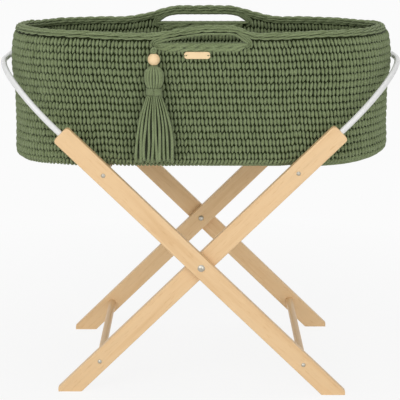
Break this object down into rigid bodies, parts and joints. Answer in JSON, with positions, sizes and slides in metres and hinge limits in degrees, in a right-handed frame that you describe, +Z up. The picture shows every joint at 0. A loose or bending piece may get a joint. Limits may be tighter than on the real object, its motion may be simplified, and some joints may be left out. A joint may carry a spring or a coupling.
{
  "type": "moses basket stand",
  "caption": "Folding crossed-leg wooden stand with white tube rails, webbing straps and a lift-off crocheted oval basket with a tassel, for carrying a sleeping baby's bed.",
  "frame": {"origin": "on the floor, midway between the four feet, under the two pivots", "axes": "+X along the basket to the right as seen from the front, +Y from the front to the back, +Z up"},
  "size_m": [0.827, 0.463, 0.7584],
  "materials": {
    "leg_wood": "satin lacquered beech",
    "rail_lacquer": "gloss white lacquer",
    "bolt_steel": "zinc plated",
    "washer_nylon": "matte",
    "strap_webbing": "woven cotton",
    "crochet_yarn": "thick cotton cord",
    "pale_wood": "matte unvarnished"
  },
  "bodies": {
    "outer_frame": {"outer_leg_front": "leg_wood", "outer_leg_back": "leg_wood", "outer_rail": "rail_lacquer", "outer_upper_dowel": "leg_wood", "outer_lower_dowel": "leg_wood", "pivot_bolt_front": "bolt_steel", "pivot_bolt_back": "bolt_steel", "pivot_nut_front": "bolt_steel", "pivot_nut_back": "bolt_steel", "pivot_washer_front": "washer_nylon", "pivot_washer_back": "washer_nylon", "outer_upper_screws": "bolt_steel", "outer_lower_screws": "bolt_steel", "strap_front": "strap_webbing", "strap_back": "strap_webbing"},
    "inner_frame": {"inner_leg_front": "leg_wood", "inner_leg_back": "leg_wood", "inner_rail": "rail_lacquer", "inner_upper_dowel": "leg_wood", "inner_lower_dowel": "leg_wood", "inner_upper_screws": "bolt_steel", "inner_lower_screws": "bolt_steel"},
    "basket": {"basket_wall": "crochet_yarn", "basket_base": "crochet_yarn", "rim_edging": "crochet_yarn", "blank_tag": "pale_wood", "tassel_peg": "crochet_yarn"},
    "tassel": {"tassel_bead": "pale_wood", "tassel_cord": "crochet_yarn", "tassel_head": "crochet_yarn", "tassel_wrap": "crochet_yarn", "tassel_skirt": "crochet_yarn"}
  },
  "joints": [
    {"name": "fold", "type": "hinge", "parent": "outer_frame", "child": "inner_frame", "pos_m": [0, 0, 0.271], "axis": [0, -1, 0], "range_deg": [0, 84.5], "deforming": ["strap_front", "strap_back", "basket_wall", "basket_base", "rim_edging", "blank_tag", "tassel_peg", "tassel_bead", "tassel_cord", "tassel_head", "tassel_wrap", "tassel_skirt"]},
    {"name": "basket_lift", "type": "slide", "parent": "outer_frame", "child": "basket", "axis": [0, 0, 1], "range_m": [0, 0.35]},
    {"name": "tassel_swing", "type": "hinge", "parent": "basket", "child": "tassel", "pos_m": [-0.093, -0.2023, 0.70702], "axis": [0, 1, 0], "range_deg": [-12, 12]}
  ]
}
